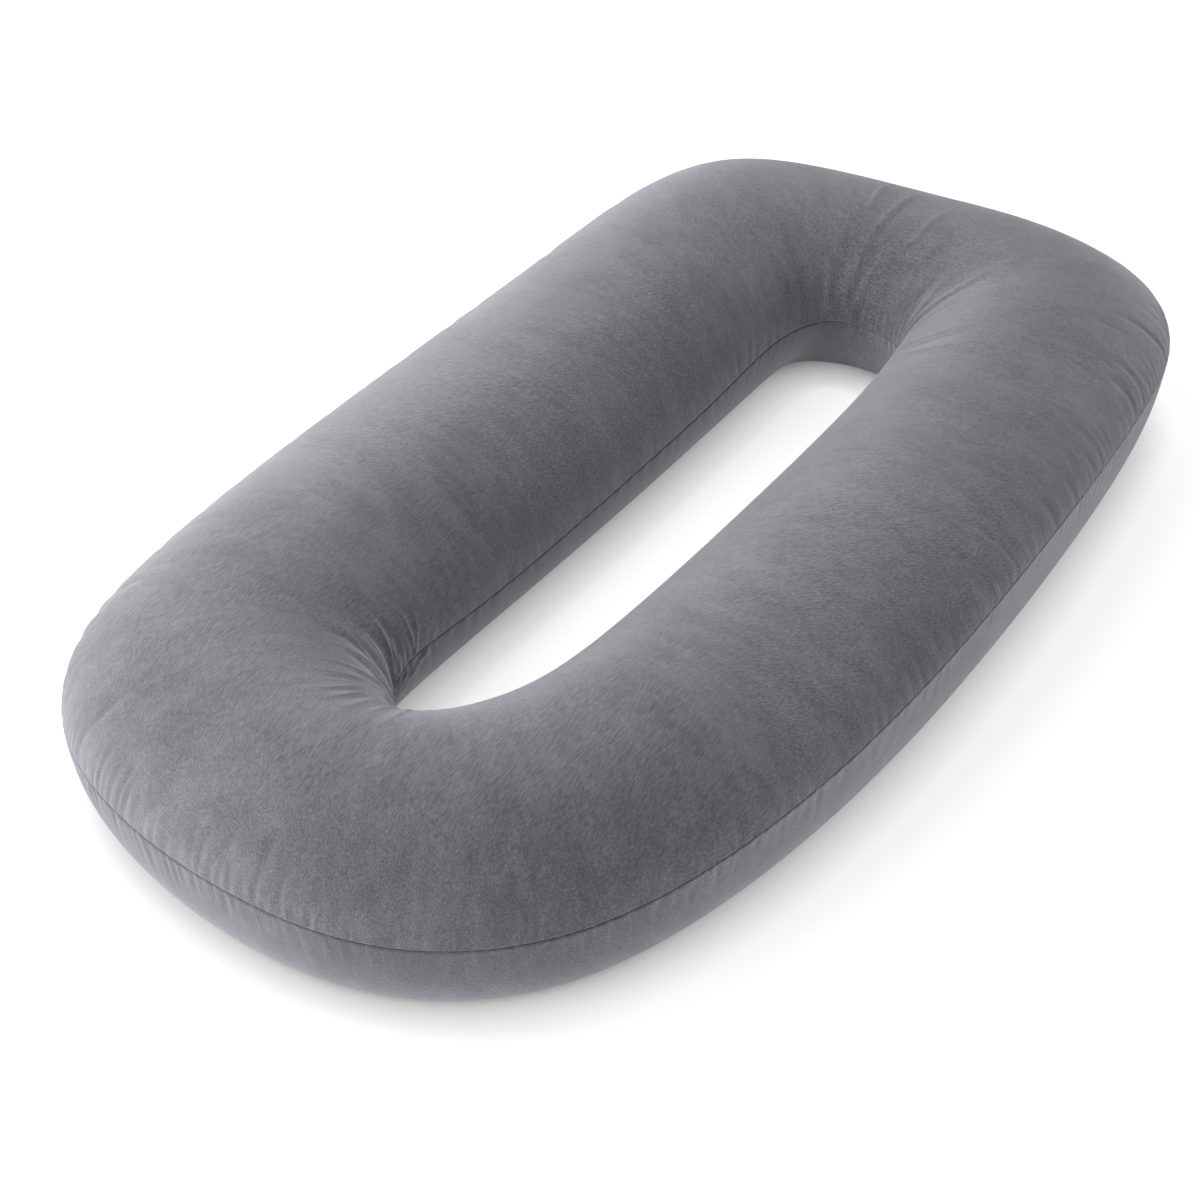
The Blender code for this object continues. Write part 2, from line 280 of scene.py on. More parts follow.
def smooth(values, row):
    """A smooth closed curve pulled by the control values, read at a row position."""
    count = len(values)
    row = np.asarray(row, dtype=float) % count
    first = row.astype(int) % count
    f = row - np.floor(row)
    f = f.reshape(f.shape + (1,) * (np.ndim(values) - 1))
    weights = (
        (1 - f) ** 3 / 6,
        (3 * f ** 3 - 6 * f ** 2 + 4) / 6,
        (-3 * f ** 3 + 3 * f ** 2 + 3 * f + 1) / 6,
        f ** 3 / 6,
    )
    return sum(weight * values[(first + offset) % count]
               for offset, weight in zip((-1, 0, 1, 2), weights))


OUTLINE_NAMES = ("outer_x", "outer_y", "inner_x", "inner_y", "crown", "outer_seam",
                 "inner_seam", "inner_lean")
OUTLINES = {name: column(name) for name in OUTLINE_NAMES}


def plump_point(row, degrees, panel):
    """Points of the plump, unfolded ring at row positions and angles round the section."""
    o = {name: smooth(values, row) for name, values in OUTLINES.items()}
    angle = np.radians(degrees)
    c = np.cos(angle)
    s = np.sin(angle)
    outward = (1 + c) / 2
    share = outward ** 2 * (3 - 2 * outward)
    seam = o["inner_seam"] * (1 - share) + o["outer_seam"] * share
    if panel == "upper":
        across = np.sign(c) * np.abs(c) ** FULLNESS
        height = seam + (o["crown"] - seam) * np.abs(s) ** FULLNESS
    else:
        down = np.abs(s) / math.sin(math.radians(FLAT_ANGLE))
        lean = np.where(c < 0, o["inner_lean"], 0.0)
        bulge = 2 - LEAN_STRAIGHTENS * lean
        wall = np.clip(1 - down ** bulge, 0, 1) ** (1 / bulge)
        lying_share = FLAT_SHARE - LEAN_NARROWS * lean
        edge = math.cos(math.radians(FLAT_ANGLE))
        on_wall = np.abs(c) > edge - TINY
        flat_across = lying_share * np.abs(c) / edge
        wall_across = lying_share + (1 - lying_share) * wall
        across = np.sign(c) * np.where(on_wall, wall_across, flat_across)
        height = np.where(on_wall, seam * np.clip(1 - down, 0, 1), 0.0)
    across = (1 + across) / 2
    x = o["inner_x"] + (o["outer_x"] - o["inner_x"]) * across
    y = o["inner_y"] + (o["outer_y"] - o["inner_y"]) * across
    return np.stack([x, y, height], axis=-1)


def slopes(row, degrees, panel):
    """Outward unit normals of the plump ring, and metres per row and per degree on it."""
    step = STEP_LENGTH
    turn = math.degrees(step)
    low, high = (0, 180) if panel == "upper" else (180, 360)
    along = plump_point(row + step, degrees, panel) - plump_point(row - step, degrees, panel)
    after = np.clip(degrees + turn, low, high)
    before = np.clip(degrees - turn, low, high)
    around = plump_point(row, after, panel) - plump_point(row, before, panel)
    normal = np.cross(along, around)
    length = np.linalg.norm(normal, axis=-1, keepdims=True)
    metres_per_row = np.linalg.norm(along, axis=-1) / (2 * step)
    metres_per_degree = np.linalg.norm(around, axis=-1) / np.maximum(after - before, TINY)
    return normal / np.maximum(length, TINY), metres_per_row, metres_per_degree


def stations(count):
    """Row positions of the sections, closer together where the ring turns."""
    fine = np.linspace(0, TURNS, FINE_STEPS + 1)
    rim = np.stack([smooth(OUTLINES["outer_x"], fine), smooth(OUTLINES["outer_y"], fine)], -1)
    gap = np.stack([smooth(OUTLINES["inner_x"], fine), smooth(OUTLINES["inner_y"], fine)], -1)
    steps = np.maximum(np.linalg.norm(np.diff(rim, axis=0), axis=1),
                       np.linalg.norm(np.diff(gap, axis=0), axis=1))
    weight = smooth(column("fineness"), (fine[1:] + fine[:-1]) / 2)
    reach = np.concatenate([[0], np.cumsum(steps * weight)])
    wanted = np.arange(count) / count * reach[-1]
    return np.interp(wanted, reach, fine)


def between_seams(count, bunching):
    """Places from 0, at one seam, to 1, at the other, closer together towards both."""
    even = np.linspace(0, 1, count)
    return even - bunching * np.sin(2 * math.pi * even) / (2 * math.pi)


def down_wall(count, bunching):
    """Places from 0, at a seam, to 1, at the foot of a wall, closer together at the seam."""
    even = np.linspace(0, 1, count)
    return (1 - bunching) * even + bunching * even ** 2


def loop_angles(panel, loops):
    """Angles of a panel's mesh loops, closest together beside the seams."""
    if panel == "upper":
        return 180 * between_seams(loops, UPPER_BUNCHING)
    wall = FLAT_ANGLE * down_wall((loops - FLAT_LOOPS) // 2, WALL_BUNCHING)
    flat = np.linspace(180 + FLAT_ANGLE, 360 - FLAT_ANGLE, FLAT_LOOPS + 2)[1:-1]
    return np.concatenate([180 + wall, flat, 360 - wall[::-1]])


def arc_from(points, end):
    """Distance along each section from its first or last loop."""
    steps = np.linalg.norm(np.diff(points, axis=1), axis=-1)
    if end == "first":
        return np.concatenate([np.zeros((len(points), 1)), np.cumsum(steps, axis=1)], axis=1)
    back = np.cumsum(steps[:, ::-1], axis=1)[:, ::-1]
    return np.concatenate([back, np.zeros((len(points), 1))], axis=1)


# ---------------------------------------------------------------------------------------
# Folds, puckers and seams
# ---------------------------------------------------------------------------------------


def turn_apart(row, line):
    """Signed rows from a line to each point, the short way round."""
    return (row - line + TURNS / 2) % TURNS - TURNS / 2


def fold_line(f, angle):
    """Row of a fold's line at each angle: a parabola through its three places."""
    places = [(f["start_angle"], f["start_row"]), (f["by_angle"], f["by_row"]),
              (f["end_angle"], f["end_row"])]
    line = 0.0
    slope = 0.0
    for here, (at, row) in enumerate(places):
        a, b = [other for k, (other, _) in enumerate(places) if k != here]
        scale = row / ((at - a) * (at - b))
        line = line + scale * (angle - a) * (angle - b)
        slope = slope + scale * (2 * angle - a - b)
    return line, slope


def fold_height(row, degrees, metres_per_row, metres_per_degree):
    """Height of the highest ridge less the deepest trough at each point."""
    ridge = np.zeros_like(row)
    trough = np.zeros_like(row)
    for fold in FOLDS:
        f = dict(zip(FOLD_COLUMNS, fold))
        share = (degrees - f["start_angle"]) / (f["end_angle"] - f["start_angle"])
        ends = sorted((f["start_angle"], f["end_angle"]))
        line, slope = fold_line(f, np.clip(degrees, *ends))
        lean = slope * metres_per_row / np.maximum(metres_per_degree, TINY)
        aside = turn_apart(row, line) * metres_per_row / np.sqrt(1 + lean ** 2)
        inside = np.clip(share, 0, 1)
        start = np.clip(inside / FOLD_START, 0, 1)
        fade = np.sin(math.pi * np.clip(0.5 + inside / 2, 0, 1)) ** FOLD_FADE
        across = np.exp(-(aside * 1000 / f["width_mm"]) ** 2)
        shape = start * fade * across * (share > -FOLD_OVERRUN)
        height = f["height_mm"] / 1000 * shape
        ridge = np.maximum(ridge, height)
        trough = np.minimum(trough, height)
    return ridge + trough


def pucker_height(row, reach, metres_per_row, zones, seed):
    """Small ridges and hollows fanning from one seam; reach is the distance from it."""
    height = np.zeros_like(row)
    chance = np.random.default_rng(seed)
    places = row[:, 0]
    for z in zones:
        at = z["from_row"]
        while at < z["to_row"]:
            near = int(np.argmin(np.abs(turn_apart(places, at % TURNS))))
            seam_pace = metres_per_row[near, np.argmin(reach[near])]
            spacing = chance.uniform(*PUCKER_CHANCES["spacing"])
            at += z["spacing_mm"] / 1000 / seam_pace * spacing
            length = z["length_mm"] / 1000 * chance.uniform(*PUCKER_CHANCES["length"])
            depth = z["depth_mm"] / 1000 * chance.uniform(*PUCKER_CHANCES["depth"])
            width = z["spacing_mm"] / 1000 * chance.uniform(*PUCKER_CHANCES["width"])
            lean = z["lean"] + chance.uniform(*PUCKER_CHANCES["lean"])
            beside = np.abs(turn_apart(places, at % TURNS)) < PUCKER_WINDOW / seam_pace
            share = reach[beside] / length
            aside = turn_apart(row[beside], at % TURNS) * metres_per_row[beside]
            across = (aside - lean * reach[beside]) / (width * (1 + PUCKER_WIDENS * share))
            start = np.clip(PUCKER_AT_SEAM + reach[beside] / PUCKER_RISE, 0, 1)
            fade = np.clip(1 - share, 0, 1) ** PUCKER_FADE * start
            shape = (PUCKER_RIDGE * across ** 2 - 1) * np.exp(-across ** 2)
            height[beside] += depth * fade * shape
    return height


def seam_lift(row, reach):
    """How far the cloth beside a seam stands out as a soft corner, less the sewn crease."""
    corner = smooth(column("corner_mm"), row) / 1000
    depth = CREASE_DEPTH + CREASE_SHARE * corner
    return corner * np.exp(-reach / CORNER_WIDTH) - depth * np.exp(-(reach / CREASE_WIDTH) ** 2)


def zones_of(seam, panel):
    """The pucker zones of one side of one seam."""
    named = [dict(zip(PUCKER_COLUMNS, row)) for row in PUCKERS]
    return [z for z in named if z["seam"] == seam and z["panel"] == panel]


def panel_puckers(panel, row, outer_reach, inner_reach, metres_per_row):
    """Both seams' puckers on one panel."""
    outer_seed, inner_seed = PUCKER_SEEDS[panel]
    outer = zones_of("outer", panel)
    inner = zones_of("inner", panel)
    return (pucker_height(row, outer_reach, metres_per_row, outer, outer_seed)
            + pucker_height(row, inner_reach, metres_per_row, inner, inner_seed))


def clear_of_floor(height):
    """0 where the cloth lies on the floor, 1 where it is free to move."""
    return np.clip(height / FLOOR_CLEARANCE, 0, 1)


def panel_points(panel, loops, skin):
    """A panel's grid of points, its outward normals, and its cloth layout: three numbers for
    the place of its brush marks and one for its distance from the nearer seam."""
    rows = stations(STATIONS)
    degrees_line = loop_angles(panel, loops)
    row, degrees = np.meshgrid(rows, degrees_line, indexing="ij")
    points = plump_point(row, degrees, panel)
    normal, metres_per_row, metres_per_degree = slopes(row, degrees, panel)
    first, last = arc_from(points, "first"), arc_from(points, "last")
    outer_reach, inner_reach = (first, last) if panel == "upper" else (last, first)
    seams = seam_lift(row, outer_reach) + INNER_SEAM_SHARE * seam_lift(row, inner_reach)
    folds = fold_height(row, degrees, metres_per_row, metres_per_degree)
    puckers = panel_puckers(panel, row, outer_reach, inner_reach, metres_per_row)
    if skin is None:
        wrinkles = puckers
    else:
        wrinkles = skin.height(rows, degrees_line) + KEPT_SHARE * puckers
    lift = (wrinkles + folds) * clear_of_floor(points[..., 2]) + seams
    moved = points + normal * lift[..., None]
    moved[..., 2] = np.maximum(moved[..., 2], 0.0)
    from_seam = np.minimum(outer_reach, inner_reach + INNER_SEAM_EASE)[..., None]
    cloth = np.concatenate([ring_layout(points, degrees_line), from_seam], axis=-1)
    return moved, normal, cloth


def ring_layout(points, degrees_line):
    """Each point's place on an even drum: round it by its place along the middle loop, and
    up it by its reach across the panel, so that brush marks can run across the ring."""
    middle = len(degrees_line) // 2
    steps = np.linalg.norm(np.diff(points, axis=1), axis=-1)
    across = np.concatenate([np.zeros((len(points), 1)), np.cumsum(steps, axis=1)], axis=1)
    across = across - across[:, middle:middle + 1]
    loop = points[:, middle]
    strides = np.linalg.norm(np.roll(loop, -1, axis=0) - loop, axis=-1)
    turn = 2 * math.pi * np.concatenate([[0], np.cumsum(strides)[:-1]]) / strides.sum()
    radius = strides.sum() / (2 * math.pi)
    round_it = np.stack([np.cos(turn), np.sin(turn)], axis=-1) * radius
    round_it = np.broadcast_to(round_it[:, None], points.shape[:2] + (2,))
    return np.concatenate([round_it, across[..., None]], axis=-1)


def with_turned_edges(points, normal, cloth, panel):
    """Adds the seam allowance: loops that go in behind each seam. They keep the cloth layout
    of the seam's own loop."""
    side = 1 if panel == "upper" else -1
    edges = []
    for loop in (0, -1):
        inward = -normal[:, loop].copy()
        inward[:, 2] = 0
        inward /= np.linalg.norm(inward, axis=-1, keepdims=True)
        tucked = [points[:, loop] + inward * depth + np.array([0, 0, side * TURN_GAP])
                  for depth in TURN_IN]
        edges.append(np.stack(tucked, axis=1))
    grid = np.concatenate([edges[0][:, ::-1], points, edges[1]], axis=1)
    count = len(TURN_IN)
    layouts = [cloth[:, :1]] * count + [cloth] + [cloth[:, -1:]] * count
    return grid, np.concatenate(layouts, axis=1)


def ring_middle():
    """The middle of the ring's box before it is moved over the origin."""
    row, degrees = np.meshgrid(stations(STATIONS), np.linspace(0, 180, BOX_LOOPS), indexing="ij")
    points = plump_point(row, degrees, "upper").reshape(-1, 3)
    middle = (points.min(axis=0) + points.max(axis=0)) / 2
    return np.array([middle[0], middle[1], 0.0])


def ring_mesh(name, grid, tube):
    """A mesh of quads over a grid that closes round the ring and, as a tube, round itself."""
    count, loops = grid.shape[:2]
    strips = loops if tube else loops - 1
    i, k = np.meshgrid(np.arange(count), np.arange(strips), indexing="ij")
    j, m = (i + 1) % count, (k + 1) % loops
    quads = np.stack([i * loops + k, j * loops + k, j * loops + m, i * loops + m], -1)
    mesh = bpy.data.meshes.new(name)
    mesh.from_pydata(grid.reshape(-1, 3).tolist(), [], quads.reshape(-1, 4).tolist())
    return mesh


def sheet_mesh(name, grid, cloth):
    """A panel's mesh, which keeps the panel's cloth layout."""
    mesh = ring_mesh(name, grid, tube=False)
    layout = mesh.attributes.new("ring", "FLOAT_VECTOR", "POINT")
    layout.data.foreach_set("vector", cloth[..., :3].reshape(-1).astype(np.float32))
    from_seam = mesh.attributes.new("from seam", "FLOAT", "POINT")
    from_seam.data.foreach_set("value", cloth[..., 3].reshape(-1).astype(np.float32))
    mesh.shade_smooth()
    mesh.update()
    return mesh


def add_piece(name, mesh, material):
    """Puts a mesh in the scene with its finish."""
    piece = bpy.data.objects.new(name, mesh)
    piece.data.materials.append(material)
    bpy.context.scene.collection.objects.link(piece)
    return piece


# ---------------------------------------------------------------------------------------
# Cloth simulation
# ---------------------------------------------------------------------------------------


class Skin:
    """A coarse closed skin of the ring, wrinkled by Blender's cloth simulation."""

    def __init__(self):
        self.rows = stations(SKIN_SECTIONS)
        upper = 180 * between_seams(SKIN_UPPER, SKIN_BUNCHING)
        wall = FLAT_ANGLE * down_wall(SKIN_WALL + 1, SKIN_WALL_BUNCHING)
        inset = FLAT_ANGLE + SKIN_UNDERSIDE
        middle = [180 + inset, 360 - inset]
        self.angles = np.concatenate([upper, 180 + wall[1:], middle, 360 - wall[:0:-1]])
        self.inner = SKIN_UPPER - 1
        self.form()
        self.wrinkles = self.settle()

    def form(self):
        """The plump skin, its normals, and how far each point is from the seams."""
        row, degrees = np.meshgrid(self.rows, self.angles, indexing="ij")
        upper = (degrees <= 180)[..., None]
        above, below = slopes(row, degrees, "upper"), slopes(row, degrees, "lower")
        self.plump = np.where(upper, plump_point(row, degrees, "upper"),
                              plump_point(row, degrees, "lower"))
        self.normal = np.where(upper, above[0], below[0])
        pace = np.where(upper[..., 0], above[1], below[1])
        run = arc_from(self.plump, "first")
        closing = np.linalg.norm(self.plump[:, 0] - self.plump[:, -1], axis=-1)
        around = run[:, -1:] + closing[:, None]
        self.outer_reach = np.minimum(run, around - run)
        self.inner_reach = np.abs(run - run[:, self.inner:self.inner + 1])
        puckers = [panel_puckers(panel, row, self.outer_reach, self.inner_reach, pace)
                   for panel in ("upper", "lower")]
        puckers = np.where(upper[..., 0], puckers[0], puckers[1])
        nearest = np.minimum(self.outer_reach, self.inner_reach)
        free = clear_of_floor(self.plump[..., 2]) * np.clip(nearest / SEWN_MARGIN, 0, 1)
        self.start = self.plump + self.normal * (SEED_SHARE * puckers * free)[..., None]
        self.spare = np.exp(-(nearest / SPARE_REACH) ** 2)

    def settle(self):
        """Runs the simulation and keeps its wrinkles, without its change of broad form."""
        mesh = ring_mesh("skin", self.start, tube=True)
        cloth = bpy.data.objects.new("skin", mesh)
        bpy.context.scene.collection.objects.link(cloth)
        sewn = self.plump[..., 2] < LYING_HEIGHT
        sewn[:, [0, self.inner]] = True
        add_group(cloth, "sewn", sewn.astype(float))
        add_group(cloth, "spare", self.spare)
        modifier = cloth.modifiers.new("cloth", "CLOTH")
        for name, value in CLOTH_SETTINGS.items():
            setattr(modifier.settings, name, value)
        modifier.settings.effector_weights.gravity = 0.0
        modifier.collision_settings.use_collision = False
        modifier.point_cache.frame_end = SETTLE_FRAMES
        for frame in range(1, SETTLE_FRAMES + 1):
            bpy.context.scene.frame_set(frame)
        settled = cloth.evaluated_get(bpy.context.evaluated_depsgraph_get()).data
        points = np.empty(self.start.size, dtype=np.float32)
        settled.vertices.foreach_get("co", points)
        bpy.context.scene.frame_set(1)
        bpy.data.objects.remove(cloth)
        bpy.data.meshes.remove(mesh)
        motion = points.reshape(self.plump.shape) - self.plump
        swell = (motion * self.normal).sum(axis=-1)
        window = range(-(EVEN_SPAN // 2), EVEN_SPAN // 2 + 1)
        broad = sum(np.roll(swell, shift, axis=0) for shift in window) / EVEN_SPAN
        return np.clip(swell - broad, -MOST_MOTION, MOST_MOTION)

    def height(self, rows, angles):
        """The wrinkles' height at a grid of rows and angles."""
        sections, loops = self.wrinkles.shape
        places = np.interp(rows, np.append(self.rows, TURNS), np.arange(sections + 1))
        around = np.interp(angles, np.append(self.angles, 360), np.arange(loops + 1))
        return smooth(smooth(self.wrinkles, places).T, around).T


def add_group(piece, name, weights):
    """A vertex group from an array of weights, written in even steps."""
    group = piece.vertex_groups.new(name=name)
    steps = np.round(weights.reshape(-1) * GROUP_STEPS).astype(int)
    for step in range(1, GROUP_STEPS + 1):
        chosen = np.flatnonzero(steps == step).tolist()
        if chosen:
            group.add(chosen, step / GROUP_STEPS, "REPLACE")


# ---------------------------------------------------------------------------------------
# Finishes
# ---------------------------------------------------------------------------------------
# How the nap's strokes lie: their turn in plan, in degrees, how many there are a metre
# lengthwise, sideways and up a side, and how strongly they show
LAY_COLUMNS = ("turn", "lengthwise", "sideways", "upright", "strength")
NAP_LAYS = {
    "foot":   (4, 95, 800, 600, 1.5),
    "middle": (-35, 170, 900, 700, 2.0),
    "head":   (-95, 220, 900, 560, 1.8),
}
STROKE_GRAIN = (3.0, 0.65)            # detail and roughness of the fine strokes
BROAD_STROKES = (50, 150, 120)        # a metre lengthwise, sideways and up a side
BROAD_STROKE_SHARE = 0.15
# Where each lay takes over from the one before: the metres headward of the pillow's middle
# at which it starts to, and how sudden the change is
LAY_CHANGES = {"middle": (-0.40, 3.5), "head": (0.12, 4.0)}
LAY_WANDER = 0.8                      # how far patches of nap carry that change about

# Marks on the cloth: how many there are a metre along the ring, on the drum's two axes, and
# across it. Patches are as many in every direction.
SOFT_GRAIN = (2.0, 0.5)               # detail and roughness of soft marks
PLAIN_GRAIN = (1.0, 0.5)              # the same for plain ones
PATCHES = 5.0
BRUSH_MARKS = (110, 110, 42)
WIDE_MARKS = (34, 34, 14)
GATHERS = (260, 260, 26)
GATHER_LEAST = 0.08                   # noise above this is a gather's ridge, which gets a painted highlight
GATHER_EDGE = 6                       # how sharp its edge is

# What each adds to the shade, which runs from 0, dark, to 1, light
MIDDLE_SHADE = 0.5
NAP_SHADE = 1.3
BRUSH_SHADE = 0.4
WIDE_SHADE = 0.5
PATCH_SHADE = 0.4
# painted highlight: how much lighter the gathers' ridges are made
GATHER_PAINTED_HIGHLIGHT = 0.3
# painted shade: how much darker cloth low by the floor is made
PAINTED_LOW_SHADE = 0.2
TONE_SPREAD = 0.45                    # share of the tone between middle and dark or light

# How soon each fades, for a metre away from its seam or above the floor
GATHER_FADE = 20
PAINTED_LOW_SHADE_FADE = 33
SEAM_SHADE_FADE = 900
CONTACT_SHADE_FADE = 45
INNER_SIDE_FADE = 20                  # for a metre across the ring from its middle loop
SEAM_SHADE_SHARE = 0.4                    # how dark the painted shade in the seam's crease is
PAINTED_SHADE_COLOUR = (0.02, 0.02, 0.022, 1)  # painted shade: the colour put where hardly any light gets in

VELOUR_FINISH = {
    "Roughness": 0.92, "Specular IOR Level": 0.15, "Sheen Weight": 0.74,
    "Sheen Roughness": 0.4, "Sheen Tint": (0.93, 0.91, 1.0, 1),
}
RELIEF_STRENGTH = 0.5
RELIEF_DEPTH = 0.0012
RELIEF_MARKS = 0.6                    # the marks' share in the relief, beside the nap's 1
RELIEF_GATHERS = 0.5

FLOOR_SIZE = 30
FLOOR_DROP = 0.0005                   # keeps the floor just clear of the cloth
FLOOR_MATT = {
    "Base Color": (0.45, 0.45, 0.45, 1), "Roughness": 1.0, "Specular IOR Level": 0.0,
}
FLOOR_GLOW = 0.76
SHADOW_REACH = 0.046                  # how far off the cushion still darkens the floor
SHADOW_POWER = 0.5
SHADOW_SAMPLES = 6
BLACK = (0, 0, 0, 1)
WHITE = (1, 1, 1, 1)


class Varying:
    """A number that changes over a surface. Arithmetic on it adds Math nodes."""

    def __init__(self, recipe, socket):
        self.recipe = recipe
        self.socket = socket

    def maths(self, operation, first, second):
        sockets = {0: first, 1: second}
        return self.recipe.add("ShaderNodeMath", {"operation": operation}, sockets)

    def __add__(self, other):
        return self.maths("ADD", self, other)

    def __radd__(self, other):
        return self.maths("ADD", other, self)

    def __sub__(self, other):
        return self.maths("SUBTRACT", self, other)

    def __rsub__(self, other):
        return self.maths("SUBTRACT", other, self)

    def __mul__(self, other):
        return self.maths("MULTIPLY", self, other)

    def __rmul__(self, other):
        return self.maths("MULTIPLY", other, self)

    def __pow__(self, other):
        return self.maths("POWER", self, other)

    def larger(self, other):
        return self.maths("MAXIMUM", self, other)


class Recipe:
    """A material's nodes, made one after another."""

    def __init__(self, name, constants):
        self.material = bpy.data.materials.new(name)
        self.material.use_nodes = True
        self.tree = self.material.node_tree
        self.shader = self.tree.nodes["Principled BSDF"]
        for key, value in constants.items():
            self.fill(self.shader, key, value)

    def fill(self, node, key, value):
        """Links or sets one socket of a node, by the socket's name or place."""
        target = node.inputs[key]
        if isinstance(value, Varying):
            self.tree.links.new(value.socket, target)
        else:
            target.default_value = value

    def add(self, kind, settings, sockets, output=0):
        """Adds a node: its settings first, then its sockets, each by its name or place."""
        node = self.tree.nodes.new(kind)
        for key, value in settings.items():
            setattr(node, key, value)
        for key, value in sockets.items():
            self.fill(node, key, value)
        return Varying(self, node.outputs[output])

    def noise(self, place, scale, grain):
        """Noise about 0, with a detail and a roughness."""
        detail, roughness = grain
        sockets = {"Vector": place, "Scale": scale, "Detail": detail, "Roughness": roughness}
        return self.add("ShaderNodeTexNoise", {"noise_dimensions": "3D"}, sockets) - 0.5

    def stretched(self, place, scale, turn_degrees=0.0):
        """The place with its axes scaled, after a turn in the plane of the cloth."""
        turn = {"Vector": place, "Rotation": (0, 0, math.radians(turn_degrees))}
        turned = self.add("ShaderNodeMapping", {"vector_type": "TEXTURE"}, turn)
        return self.add("ShaderNodeVectorMath", {"operation": "MULTIPLY"}, {0: turned, 1: scale})

    def axis(self, place, name):
        """How far along its X, Y or Z axis a place lies."""
        return self.add("ShaderNodeSeparateXYZ", {}, {"Vector": place}, output=name)

    def written(self, name, output):
        """What the mesh holds at each point under a name."""
        return self.add("ShaderNodeAttribute", {"attribute_name": name}, {}, output=output)

    def clamped(self, value):
        """The value, kept between 0 and 1."""
        return self.add("ShaderNodeClamp", {}, {"Value": value})

    def fading(self, distance, fade):
        """1 where the distance is 0, and down to 0 further off."""
        return self.clamped(1 - distance * fade)

    def towards(self, direction_faced, painted_tilt):
        """How far the cloth faces a given way: the measure for painted light and shade."""
        sockets = {0: direction_faced, 1: painted_tilt}
        return self.add("ShaderNodeVectorMath", {"operation": "DOT_PRODUCT"}, sockets,
                        output="Value")

    def blend(self, amount, dark, light):
        """A colour between dark and light."""
        return self.add("ShaderNodeMix", {"data_type": "RGBA"}, {0: amount, 6: dark, 7: light},
                        output=2)


def nap_strokes(r, place, patches):
    """Fine strokes of nap in three lays, which give way to each other from foot to head."""
    strokes = {}
    for name, lay in NAP_LAYS.items():
        p = dict(zip(LAY_COLUMNS, lay))
        scale = (p["lengthwise"], p["sideways"], p["upright"])
        fine = r.noise(r.stretched(place, scale, p["turn"]), 1.0, STROKE_GRAIN)
        broad = r.noise(r.stretched(place, BROAD_STROKES, p["turn"]), 1.0, PLAIN_GRAIN)
        strokes[name] = fine * p["strength"] + broad * BROAD_STROKE_SHARE
    headward = r.axis(place, "X") + patches * LAY_WANDER
    nap = strokes["foot"]
    for name, (start, change) in LAY_CHANGES.items():
        nap = nap + (strokes[name] - nap) * r.clamped((headward - start) * change)
    return nap


def velour(name, tone, outer_painted_light, inner_painted_light):
    """Grey cloth with a short brushed nap: fine strokes, soft brush marks and a sheen. It has
    painted light and shade: lighter where it faces one given way, which may differ on the ring's
    inner side, a painted highlight on the gathers' ridges, and painted shade along the seam's
    crease and where it meets the floor."""
    r = Recipe(name, VELOUR_FINISH)
    place = r.add("ShaderNodeTexCoord", {}, {}, output="Object")
    ring = r.written("ring", "Vector")
    from_seam = r.written("from seam", "Fac")
    height = r.axis(place, "Z")
    patches = r.noise(place, PATCHES, SOFT_GRAIN)
    nap = nap_strokes(r, place, patches)
    brushed = r.noise(r.stretched(ring, BRUSH_MARKS), 1.0, SOFT_GRAIN)
    wide = r.noise(r.stretched(ring, WIDE_MARKS), 1.0, SOFT_GRAIN)
    marks = brushed * BRUSH_SHADE + wide * WIDE_SHADE
    gathered = r.noise(r.stretched(ring, GATHERS), 1.0, PLAIN_GRAIN)
    gathers = r.clamped((gathered - GATHER_LEAST) * GATHER_EDGE)
    gathers = gathers * r.fading(from_seam, GATHER_FADE)
    faced = r.add("ShaderNodeNewGeometry", {}, {}, output="Normal")
    # Painted light and shade: the cloth is made lighter or darker by which way it faces
    outer, inner = (r.towards(faced, painted_tilt) for painted_tilt in (outer_painted_light, inner_painted_light))
    inner_side = r.clamped(r.axis(ring, "Z") * -INNER_SIDE_FADE)
    painted_tilt = outer + (inner - outer) * inner_side
    shade = MIDDLE_SHADE + nap * NAP_SHADE + marks + patches * PATCH_SHADE + painted_tilt
    # Painted highlight on the gathers' ridges, and painted shade on cloth low by the floor
    shade = shade + gathers * GATHER_PAINTED_HIGHLIGHT - r.fading(height, PAINTED_LOW_SHADE_FADE) * PAINTED_LOW_SHADE
    dark, light = (tuple(share * c for c in tone) + (1,)
                   for share in (1 - TONE_SPREAD, 1 + TONE_SPREAD))
    # Painted shade: a dark line along the seam's crease, and another where the cloth meets the
    # floor
    seam_shade = r.fading(from_seam, SEAM_SHADE_FADE) * SEAM_SHADE_SHARE
    contact_shade = r.fading(height, CONTACT_SHADE_FADE) ** 2
    # both painted shades blend the cloth towards the painted shade colour
    painted_shade = seam_shade.larger(contact_shade)
    r.fill(r.shader, "Base Color", r.blend(painted_shade, r.blend(shade, dark, light), PAINTED_SHADE_COLOUR))
    relief = {"Strength": RELIEF_STRENGTH, "Distance": RELIEF_DEPTH,
              "Height": nap + marks * RELIEF_MARKS + gathers * RELIEF_GATHERS}
    r.fill(r.shader, "Normal", r.add("ShaderNodeBump", {}, relief))
    return r.material


def pale_floor():
    """A plain white studio floor that glows, with a painted shadow: its glow is darker near the
    cushion.
    """
    r = Recipe("studio floor", FLOOR_MATT)
    # Painted shadow: the glow is darkened near the cushion by ambient occlusion
    glow_outside_painted_shadow = r.add("ShaderNodeAmbientOcclusion", {"samples": SHADOW_SAMPLES},
                     {"Distance": SHADOW_REACH}, output="AO")
    r.fill(r.shader, "Emission Color", r.blend(glow_outside_painted_shadow ** SHADOW_POWER, BLACK, WHITE))
    r.fill(r.shader, "Emission Strength", FLOOR_GLOW)
    return r.material


